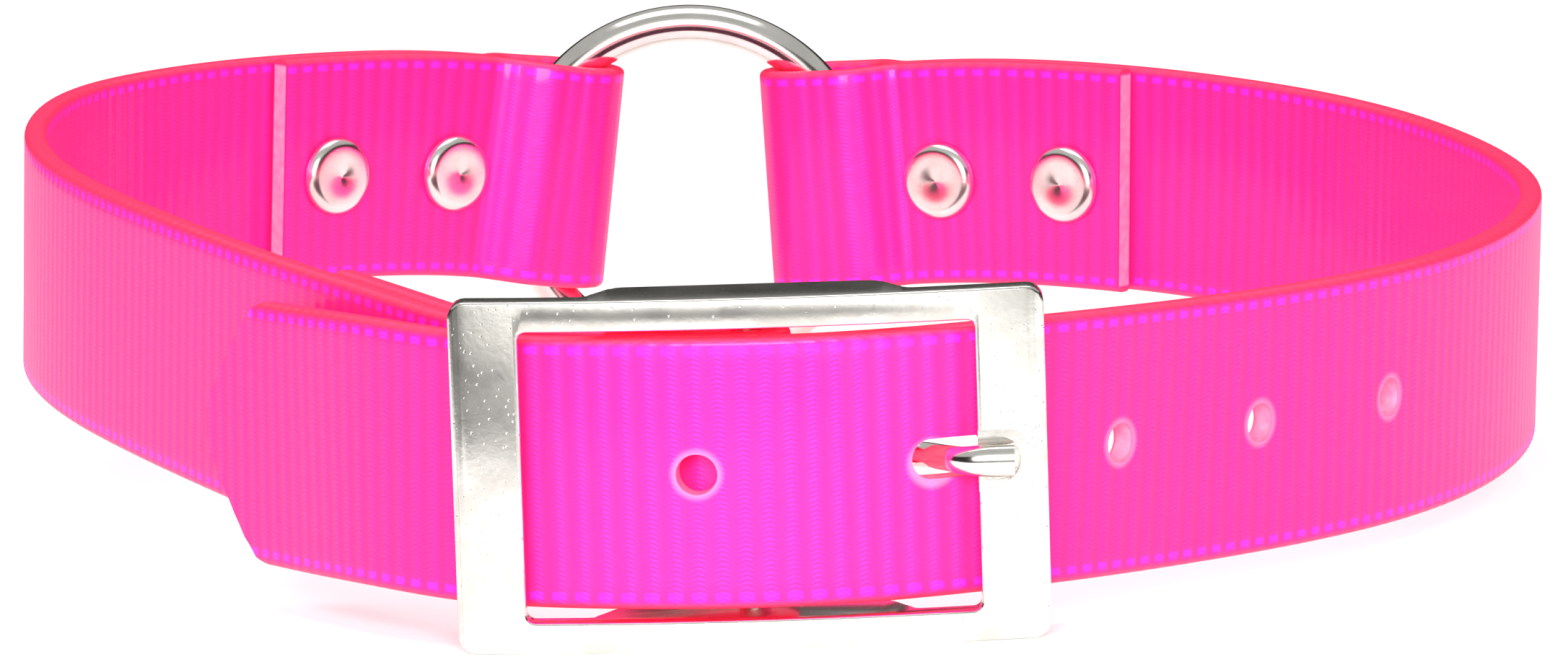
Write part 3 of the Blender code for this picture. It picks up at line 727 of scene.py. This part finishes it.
def makeTailWebbing():
    near = loop["depth"] * 0.1
    wanted = tail["holeReach"] - buckle["shift"]
    tongueAt = tailRoute.distanceWhere(lambda place: place[1] < near and place[0] < wanted)
    end = tongueAt + tail["holePitch"] + tail["rest"]
    flap = spacing(0.0, strap["flap"], 0.5 * mm)
    body = spacing(0.0, end, 0.5 * mm)
    rows = pathRows(tailRoute, flap[::-1], ringOffset, -1)
    rows += foldRows(tailRoute, 0.0, foldRadius, -1)
    first = len(rows)
    rows += pathRows(tailRoute, body, ringOffset, 1)
    travelled = travelledAlong(rows)
    length = float(travelled[-1])

    def flatAlong(distance):
        return float(np.interp(distance, body, travelled[first:]))

    def flapAlong(distance):
        return float(np.interp(distance, flap, travelled[:len(flap)][::-1]))

    piece = ribbedWebbing("tailWebbing", length)
    tools = []
    for index in range(tail["holeCount"]):
        place = flatAlong(tongueAt + (1 - index) * tail["holePitch"])
        if index == 1:
            tools.append(punch(piece, place - tail["holeDrawn"], tongue["lift"], tail["holeDiameter"], tail["holeDrawn"]))
        else:
            tools.append(punch(piece, place, 0.0, tail["holeDiameter"]))
    shankHole = rivet["shank"] + 2 * rivet["seatGap"]
    for distance in (rivet["first"], rivet["first"] + rivet["spacing"]):
        tools.append(punch(piece, flatAlong(distance), -rivet["drop"], shankHole))
        tools.append(punch(piece, flapAlong(distance), -rivet["drop"], shankHole))
    cutAway(piece, joinPieces(tools))
    cutAway(piece, tipCutter(length))
    bendAlong(piece, rows)
    holeStart = flatAlong(tongueAt + (1 - tail["holeCount"] + 1) * tail["holePitch"])
    finish = webbingMaterial("punchedWebbing", holeStart)
    return finishPiece(piece, "tailWebbing", finish, "webbing", bodyName, "tail_strap")


def makeBuckleWebbing():
    route = buckleRoute
    flap = spacing(0.0, buckle["barFlap"], 0.5 * mm)
    body = spacing(0.0, route.length, 0.5 * mm)
    ringFlap = spacing(0.0, strap["flap"], 0.5 * mm)
    rows = pathRows(route, flap[::-1], barOffset, -1)
    rows += foldRows(route, 0.0, barFoldRadius, -1)
    first = len(rows)
    rows += pathRows(route, body, lambda distance: otherOffset(route, distance), 1)
    rows += foldRows(route, route.length, foldRadius, 1)[::-1]
    second = len(rows)
    back = [route.length - distance for distance in ringFlap]
    rows += pathRows(route, back, lambda distance: ringOffset(route.length - distance), -1)
    travelled = travelledAlong(rows)
    piece = ribbedWebbing("buckleWebbing", float(travelled[-1]))

    shankHole = rivet["shank"] + 2 * rivet["seatGap"]
    tools = []
    for distance in (rivet["first"], rivet["first"] + rivet["spacing"]):
        onBody = float(np.interp(route.length - distance, body, travelled[first:first + len(body)]))
        onFlap = float(np.interp(distance, ringFlap, travelled[second:]))
        tools.append(punch(piece, onBody, -rivet["drop"], shankHole))
        tools.append(punch(piece, onFlap, -rivet["drop"], shankHole))
    for distance in (rivet["barFirst"], rivet["barFirst"] + rivet["barSpacing"]):
        onBody = float(np.interp(distance, body, travelled[first:first + len(body)]))
        onFlap = float(np.interp(distance, flap, travelled[:len(flap)][::-1]))
        tools.append(punch(piece, onBody, -rivet["drop"], shankHole))
        tools.append(punch(piece, onFlap, -rivet["drop"], shankHole))
    eye = buckle["bar"] / 2 + strap["layerGap"] + tongue["wire"]
    foldMiddle = float(travelled[first]) - math.pi * barFoldRadius / 2
    reach = 2 * (eye + 2 * tongue["slotGap"])
    slotLength = math.pi * barFoldRadius + reach - 2 * barFoldRadius
    bpy.ops.mesh.primitive_cube_add(size=1.0, location=(foldMiddle, 0.0, tongue["lift"]))
    slotTool = bpy.context.object
    slotTool.scale = (slotLength, 4 * strap["thickness"], tongue["wire"] + 2 * tongue["slotGap"])
    bpy.ops.object.transform_apply(location=True, rotation=True, scale=True)
    tools.append(slotTool)
    cutAway(piece, joinPieces(tools))
    bendAlong(piece, rows)
    finish = webbingMaterial("foldedWebbing")
    return finishPiece(piece, "buckleWebbing", finish, "webbing", bodyName, "buckle_strap")


tailWebbing = makeTailWebbing()
print("tail webbing made", len(tailWebbing.data.polygons))
buckleWebbing = makeBuckleWebbing()
print("buckle webbing made", len(buckleWebbing.data.polygons))

# Plated metal

plate = {
    "bright": (0.80, 0.78, 0.73, 1.0),
    "dull": (0.58, 0.56, 0.51, 1.0),
    "pitDepth": 0.03 * mm,
}


def nickelMaterial(name, roughness, pitting):
    made, tree, shader = newMaterial(name)
    place = addNode(tree, "ShaderNodeTexCoord").outputs["Object"]
    cloud = noise(tree, place, 160.0, 4.0, 0.6)
    fine = noise(tree, place, 1500.0, 2.0, 0.6)
    mottle = ramp(tree, cloud, 0.42, 0.62)
    shade = sums(tree, "MULTIPLY", mottle, 0.35 + 0.5 * pitting)
    plug(tree, blendColour(tree, shade, plate["bright"], plate["dull"]), shader.inputs["Base Color"])
    rough = sums(tree, "MULTIPLY_ADD", cloud, 0.10 + 0.10 * pitting, roughness)
    plug(tree, rough, shader.inputs["Roughness"])
    pits = addNode(tree, "ShaderNodeTexVoronoi", feature="F1")
    plug(tree, place, pits.inputs["Vector"])
    pits.inputs["Scale"].default_value = 1300.0
    hollow = ramp(tree, pits.outputs["Distance"], 0.05, 0.16)
    deep = sums(tree, "MULTIPLY", hollow, plate["pitDepth"] * pitting)
    height = sums(tree, "MULTIPLY_ADD", fine, 0.010 * mm * (0.15 + pitting), deep)
    bump = addNode(tree, "ShaderNodeBump")
    bump.inputs["Strength"].default_value = 1.0
    bump.inputs["Distance"].default_value = 1.0
    plug(tree, height, bump.inputs["Height"])
    plug(tree, bump.outputs["Normal"], shader.inputs["Normal"])
    shader.inputs["Metallic"].default_value = 1.0
    return made


castNickel = nickelMaterial("castNickel", 0.14, 0.6)
wireNickel = nickelMaterial("wireNickel", 0.10, 0.0)
capNickel = nickelMaterial("capNickel", 0.16, 0.15)

# Cast buckle

cast = {
    "columns": 110,
    "rim": 0.8 * mm,
    "backRim": 0.5 * mm,
    "windowRim": 0.35 * mm,
    "windowCorner": 0.8 * mm,
    "lugRamp": 3.8 * mm,
    "seatWidth": 5.7 * mm,
    "seatLength": 5.5 * mm,
    "seatDepth": 0.75 * mm,
    "cradleWidth": 4.3 * mm,
    "cradleLength": 3.9 * mm,
    "cradleDepth": 1.7 * mm,
}


def backDepth(across):
    plain = frameDrop(across) + buckle["depth"]
    start = buckle["lug"] / 2 + cast["lugRamp"] - 0.4 * mm
    share = ease((start - abs(across)) / cast["lugRamp"])
    return plain + share * (buckle["lugDepth"] - plain)


def makeNotchTool(width, length, depth, draft):
    radius = width / 2
    centre = buckle["windowWidth"] / 2 + length - radius
    face = frameDrop(buckle["windowWidth"] / 2)
    bpy.ops.mesh.primitive_cylinder_add(
        vertices=48, radius=radius, depth=2 * buckle["depth"],
        location=(centre, face + depth - buckle["depth"], tongue["lift"]), rotation=(math.pi / 2, 0, 0),
    )
    tool = bpy.context.object
    bpy.ops.object.transform_apply(location=True, rotation=True, scale=True)
    editMode(tool)
    selectVerts(tool, lambda co: co.x < centre - 0.01 * mm)
    bpy.ops.transform.translate(value=(-length, 0.0, 0.0))
    selectVerts(tool, lambda co: co.y < face)
    bpy.ops.transform.resize(value=(draft, 1.0, draft), center_override=(centre, 0.0, tongue["lift"]))
    leaveEdit()
    return tool


def makeCastFrame():
    width, height, depth = buckle["width"], buckle["height"], buckle["depth"]
    bpy.ops.mesh.primitive_cube_add(size=1.0, location=(0.0, depth / 2, 0.0))
    piece = bpy.context.object
    piece.scale = (width, depth, height)
    bpy.ops.object.transform_apply(location=True, rotation=True, scale=True)
    editMode(piece, "EDGE")
    selectEdges(piece, lambda edge: abs(edge.verts[0].co.y - edge.verts[1].co.y) > depth / 2)
    bpy.ops.mesh.bevel(offset=buckle["corner"], segments=6, profile=0.5, affect="EDGES")
    for column in range(1, cast["columns"]):
        bpy.ops.mesh.select_all(action="SELECT")
        place = width * (column / cast["columns"] - 0.5)
        bpy.ops.mesh.bisect(plane_co=(place, 0, 0), plane_no=(1, 0, 0))
    bpy.ops.mesh.select_mode(type="VERT")
    shape = bmesh.from_edit_mesh(piece.data)
    columns = sorted({round(vert.co.x / mm, 4) for vert in shape.verts})
    for column in columns:  # the arch of the front and the lugs behind
        across = column * mm
        selectVerts(piece, lambda co: abs(co.x - across) < 0.001 * mm and co.y < depth / 2)
        bpy.ops.transform.translate(value=(0.0, frameDrop(across), 0.0))
        selectVerts(piece, lambda co: abs(co.x - across) < 0.001 * mm and abs(co.y - depth) < 0.001 * mm)
        bpy.ops.transform.translate(value=(0.0, backDepth(across) - depth, 0.0))
    bpy.ops.mesh.select_mode(type="EDGE")
    for facing, offset, segments in ((-1.0, cast["rim"], 4), (1.0, cast["backRim"], 3)):
        def onRim(edge):
            leans = sorted(face.normal.y * facing for face in edge.link_faces)
            return leans[-1] > 0.55 and abs(leans[0]) < 0.2
        selectEdges(piece, onRim)
        bpy.ops.mesh.bevel(offset=offset, segments=segments, profile=0.5, affect="EDGES", clamp_overlap=True)
    leaveEdit()

    bpy.ops.mesh.primitive_cube_add(size=1.0)
    window = bpy.context.object
    window.scale = (buckle["windowWidth"], 6 * buckle["lugDepth"], buckle["windowHeight"])
    bpy.ops.object.transform_apply(location=True, rotation=True, scale=True)
    editMode(window, "EDGE")
    selectEdges(window, lambda edge: abs(edge.verts[0].co.y - edge.verts[1].co.y) > buckle["lugDepth"])
    bpy.ops.mesh.bevel(offset=cast["windowCorner"], segments=5, profile=0.5, affect="EDGES")
    leaveEdit()
    cutAway(piece, window)

    editMode(piece, "EDGE")

    def onWindow(edge):
        leans = sorted(abs(face.normal.y) for face in edge.link_faces)
        middle = (edge.verts[0].co + edge.verts[1].co) / 2
        inside = abs(middle.x) < buckle["windowWidth"] / 2 + 0.05 * mm
        inside = inside and abs(middle.z) < buckle["windowHeight"] / 2 + 0.05 * mm
        return inside and leans[0] < 0.05 and leans[-1] > 0.55

    selectEdges(piece, onWindow)
    bpy.ops.mesh.bevel(offset=cast["windowRim"], segments=3, profile=0.5, affect="EDGES", clamp_overlap=False)
    leaveEdit()

    cutAway(piece, makeNotchTool(cast["seatWidth"], cast["seatLength"], cast["seatDepth"], 1.12))
    cutAway(piece, makeNotchTool(cast["cradleWidth"], cast["cradleLength"], cast["cradleDepth"], 1.10))
    barLength = (buckle["height"] + buckle["windowHeight"]) / 2
    bpy.ops.mesh.primitive_cylinder_add(
        vertices=32, radius=buckle["bar"] / 2, depth=barLength, location=(0.0, buckle["barDepth"], 0.0)
    )
    bar = bpy.context.object
    cutAway(piece, bar, "UNION")
    placePiece(piece, toWorld @ buckleMatrix())
    smoothShade(piece, 32)
    return finishPiece(piece, "castFrame", castNickel, "cast_nickel", bodyName, "buckle_frame")


# Tongue

pin = {
    "eyeStart": math.radians(-15.0),
    "eyeEnd": math.radians(240.0),
    "eyeSteps": 12,
    # across as a share of the hole's reach, and in front of the bar as a share of the eye
    "shank": [(0.00, 1.00), (0.25, 0.75), (0.50, 0.35), (0.75, 0.10), (0.92, 0.30)],
    # across as a share of the hole's reach, and a share of the way to the notch's floor
    "front": [(1.06, 0.55), (1.19, 0.96), (1.32, 1.00)],
    "tipSwell": 1.30,
}


def makePin():
    wire = tongue["wire"] / 2
    bar = buckle["barDepth"]
    eye = buckle["bar"] / 2 + strap["layerGap"] + wire
    points = []
    for step in range(pin["eyeSteps"] + 1):
        angle = pin["eyeStart"] + (pin["eyeEnd"] - pin["eyeStart"]) * step / pin["eyeSteps"]
        points.append((eye * math.cos(angle), bar + eye * math.sin(angle)))
    for across, front in pin["shank"]:
        points.append((across * tail["holeReach"], bar - front * eye))
    floor = frameDrop(buckle["windowWidth"] / 2) + buckle["notchDepth"]
    rest = floor - strap["layerGap"] - wire
    for across, share in pin["front"]:
        points.append((across * tail["holeReach"], bar + share * (rest - bar)))
    tip = buckle["windowWidth"] / 2 + cast["cradleLength"] - 2 * strap["layerGap"]
    points.append((tip, rest))

    data = bpy.data.curves.new("pinPath", "CURVE")
    data.dimensions = "3D"
    data.bevel_depth = wire
    data.bevel_resolution = 6
    data.use_fill_caps = True
    spline = data.splines.new("BEZIER")
    spline.resolution_u = 6
    spline.bezier_points.add(len(points) - 1)
    for point, (across, depth) in zip(spline.bezier_points, points):
        point.co = (across, depth, tongue["lift"])
        point.handle_left_type = point.handle_right_type = "AUTO"
    piece = bpy.data.objects.new("pinPath", data)
    bpy.context.scene.collection.objects.link(piece)
    pickOnly(piece)
    bpy.ops.object.convert(target="MESH")
    piece = bpy.context.object
    outwardFaces(piece)
    editMode(piece, "VERT")
    start = 1.06 * tail["holeReach"]
    rings = sorted({round(vert.co.x / mm, 3) for vert in bmesh.from_edit_mesh(piece.data).verts if vert.co.x > start})
    for ringAt in rings:  # the pin broadens towards its tip
        swell = 1.0 + (pin["tipSwell"] - 1.0) * ease((ringAt * mm - start) / (0.7 * (tip - start)))
        selectVerts(piece, lambda co: abs(co.x - ringAt * mm) < 0.0006 * mm and co.y < bar)
        bpy.ops.transform.resize(value=(1.0, 1.0, swell), center_override=(0.0, 0.0, tongue["lift"]))
    bpy.ops.mesh.select_mode(type="FACE")
    selectFaces(piece, lambda face: len(face.verts) > 8)
    bpy.ops.mesh.select_mode(type="EDGE")
    bpy.ops.mesh.region_to_loop()
    bpy.ops.mesh.bevel(offset=0.55 * mm, segments=4, profile=0.5, affect="EDGES", clamp_overlap=False)
    leaveEdit()
    placePiece(piece, toWorld @ buckleMatrix())
    smoothShade(piece, 45)
    return finishPiece(piece, "tonguePin", wireNickel, "cast_nickel", bodyName, "tongue")


# Ring

def makeLeashRing():
    bpy.ops.mesh.primitive_torus_add(
        major_segments=160, minor_segments=32, major_radius=(ring["outer"] - ring["wire"]) / 2,
        minor_radius=ring["wire"] / 2, location=ringPlace(), rotation=(math.pi / 2, 0.0, 0.0),
    )
    piece = bpy.context.object
    bpy.ops.object.transform_apply(location=True, rotation=True, scale=True)
    placePiece(piece, toWorld)
    smoothShade(piece, 60)
    return finishPiece(piece, "leashRing", wireNickel, "ring_nickel", "ring", "ring")


# Rivets

cap = {"shoulder": 1.15 * mm, "under": 0.2 * mm, "dimple": 0.55 * mm, "dimpleDepth": 0.14 * mm}


def makeRivet():
    seat = strap["thickness"] + strap["layerGap"] / 2 + rivet["seatGap"]
    top = seat + rivet["capHeight"]
    bpy.ops.mesh.primitive_cylinder_add(
        vertices=64, radius=rivet["cap"] / 2, depth=rivet["capHeight"],
        location=(0.0, 0.0, seat + rivet["capHeight"] / 2),
    )
    piece = bpy.context.object
    bpy.ops.object.transform_apply(location=True, rotation=True, scale=True)
    editMode(piece, "EDGE")
    selectEdges(piece, lambda edge: min(vert.co.z for vert in edge.verts) > top - 0.01 * mm)
    bpy.ops.mesh.bevel(offset=cap["shoulder"], segments=10, profile=0.5, affect="EDGES")
    selectEdges(piece, lambda edge: max(vert.co.z for vert in edge.verts) < seat + 0.01 * mm)
    bpy.ops.mesh.bevel(offset=cap["under"], segments=3, profile=0.5, affect="EDGES")
    bpy.ops.mesh.select_mode(type="FACE")
    flat = rivet["cap"] / 2 - cap["shoulder"]
    selectFaces(piece, lambda face: face.normal.z > 0.99 and face.calc_area() > 1e-6)
    bpy.ops.mesh.inset(thickness=flat - cap["dimple"])
    bpy.ops.mesh.inset(thickness=cap["dimple"] * 0.5)
    bpy.ops.transform.translate(value=(0.0, 0.0, -cap["dimpleDepth"]))
    selectFaces(piece, lambda face: face.normal.z < -0.99 and face.calc_area() > 1e-6)
    bpy.ops.mesh.inset(thickness=rivet["cap"] / 2 - cap["under"] - rivet["shank"] / 2)
    bpy.ops.mesh.extrude_region_move(TRANSFORM_OT_translate={"value": (0.0, 0.0, -seat)})
    bpy.ops.mesh.delete(type="FACE")
    leaveEdit()
    applyModifier(
        piece, "MIRROR", use_axis=(False, False, True), use_mirror_merge=True, merge_threshold=0.01 * mm
    )
    outwardFaces(piece)
    smoothShade(piece, 35)
    return piece


def placeRivets(model, prefix, route, distances):
    for index, distance in enumerate(distances):
        place, _, outward, upward = route.frameAt(distance)
        turn = Matrix((upward.cross(outward), upward, outward)).transposed().to_4x4()
        pickOnly(model)
        bpy.ops.object.duplicate(linked=False)
        copy = bpy.context.object
        placePiece(copy, toWorld @ Matrix.Translation(place - upward * rivet["drop"]) @ turn)
        node = f"{prefix}_{index + 1}"
        finishPiece(copy, node.replace("rivet_", "cap"), capNickel, "rivet_nickel", bodyName, node)


def makeRivets():
    model = makeRivet()
    near = [rivet["first"], rivet["first"] + rivet["spacing"]]
    far = [buckleRoute.length - distance for distance in near]
    bar = [rivet["barFirst"], rivet["barFirst"] + rivet["barSpacing"]]
    placeRivets(model, "tail_rivet", tailRoute, near)
    placeRivets(model, "ring_rivet", buckleRoute, far)
    placeRivets(model, "buckle_rivet", buckleRoute, bar)
    bpy.data.objects.remove(model, do_unlink=True)


castFrame = makeCastFrame()
print("cast frame made", len(castFrame.data.polygons))
tonguePin = makePin()
leashRing = makeLeashRing()
makeRivets()
print("pin, ring and rivets made")

# Floor and light

studio = {
    "floorSize": 12.0,
    "floorColour": (0.92, 0.92, 0.92, 1.0),
    "worldColour": (1.0, 1.0, 1.0, 1.0),
    "worldStrength": 0.55,
    "frontPower": 26.0,
    "topPower": 7.0,
    "surroundRadius": 0.62,
    "surroundHeight": 0.34,
    # where the near-black sheet on the floor lies, a painted dark reflection in the metal
    "reflectedDarkFrom": -0.20,
    "reflectedDarkSide": 0.045,
    "floorGlow": 0.30,
}


def makeFloor():
    bpy.ops.mesh.primitive_plane_add(size=studio["floorSize"], location=(0.0, 0.0, 0.0))
    floor = bpy.context.object
    floor.name = "floor"
    made, tree, shader = newMaterial("paleFloor")
    shader.inputs["Base Color"].default_value = studio["floorColour"]
    shader.inputs["Roughness"].default_value = 0.9
    shader.inputs["Emission Color"].default_value = studio["floorColour"]
    shader.inputs["Emission Strength"].default_value = studio["floorGlow"]
    floor.data.materials.append(made)


def reflectedOnly(card, name, colour, strength):  # only reflections see it
    made = bpy.data.materials.new(name)
    made.use_nodes = True
    shader = made.node_tree.nodes["Principled BSDF"]
    shader.inputs["Base Color"].default_value = (0.0, 0.0, 0.0, 1.0)
    shader.inputs["Specular IOR Level"].default_value = 0.0
    shader.inputs["Emission Color"].default_value = colour
    shader.inputs["Emission Strength"].default_value = strength
    card.name = name
    card.data.materials.append(made)
    card.visible_camera = False
    card.visible_diffuse = False
    card.visible_shadow = False
    card.visible_transmission = False


def makeCards():
    # A near-black cylinder around the collar, seen only in reflections: painted dark reflections in the metal.
    bpy.ops.mesh.primitive_cylinder_add(
        vertices=64, radius=studio["surroundRadius"], depth=studio["surroundHeight"],
        end_fill_type="NOTHING", location=(0.0, 0.0, studio["surroundHeight"] / 2),
    )
    reflectedOnly(bpy.context.object, "reflectedDarkSurround", (1.0, 0.9, 0.8, 1.0), 0.03)
    # A near-black sheet on the floor in front, seen only in reflections: a painted dark reflection, while the floor
    # itself stays pale.
    bpy.ops.mesh.primitive_plane_add(size=1.0, location=(0.5 * studio["surroundRadius"], -0.5, 0.5 * mm))
    skirt = bpy.context.object
    reach = studio["surroundRadius"]
    low = (-reach, -reach)
    high = (studio["reflectedDarkSide"], studio["reflectedDarkFrom"])
    skirt.location = ((low[0] + high[0]) / 2, (low[1] + high[1]) / 2, 0.5 * mm)
    skirt.scale = (high[0] - low[0], high[1] - low[1], 1.0)
    reflectedOnly(skirt, "reflectedDarkFloor", (1.0, 0.9, 0.8, 1.0), 0.03)
    # A plum glow on the floor inside the loop, seen only in reflections: a painted reflection of the pink strap in
    # the rivet caps.
    bpy.ops.mesh.primitive_circle_add(
        vertices=48, radius=0.062, fill_type="NGON", location=(0.0, 0.0, 0.5 * mm)
    )
    reflectedOnly(bpy.context.object, "reflectedPlumCard", (1.0, 0.12, 0.35, 1.0), 0.10)


def makeLight(name, place, aim, size, power):
    bpy.ops.object.light_add(type="AREA", location=place)
    light = bpy.context.object
    light.name = name
    light.data.shape = "RECTANGLE"
    light.data.size, light.data.size_y = size
    light.data.energy = power
    light.visible_camera = False
    light.rotation_mode = "QUATERNION"
    light.rotation_quaternion = (Vector(place) - Vector(aim)).to_track_quat("Z", "Y")
    return light


def makeStudio():
    world = bpy.data.worlds.new("studio")
    world.use_nodes = True
    background = world.node_tree.nodes["Background"]
    background.inputs["Color"].default_value = studio["worldColour"]
    background.inputs["Strength"].default_value = studio["worldStrength"]
    bpy.context.scene.world = world
    makeLight("frontSoftbox", (-0.05, -1.3, 0.36), (0.0, 0.0, 0.02), (0.7, 0.5), studio["frontPower"])
    makeLight("topSoftbox", (0.0, 0.1, 1.3), (0.0, 0.0, 0.0), (1.2, 0.8), studio["topPower"])
    bpy.context.scene.view_settings.view_transform = "Standard"
    bpy.context.scene.view_settings.look = "None"


clearSelection()
makeFloor()
makeCards()
makeStudio()
print("studio lit")
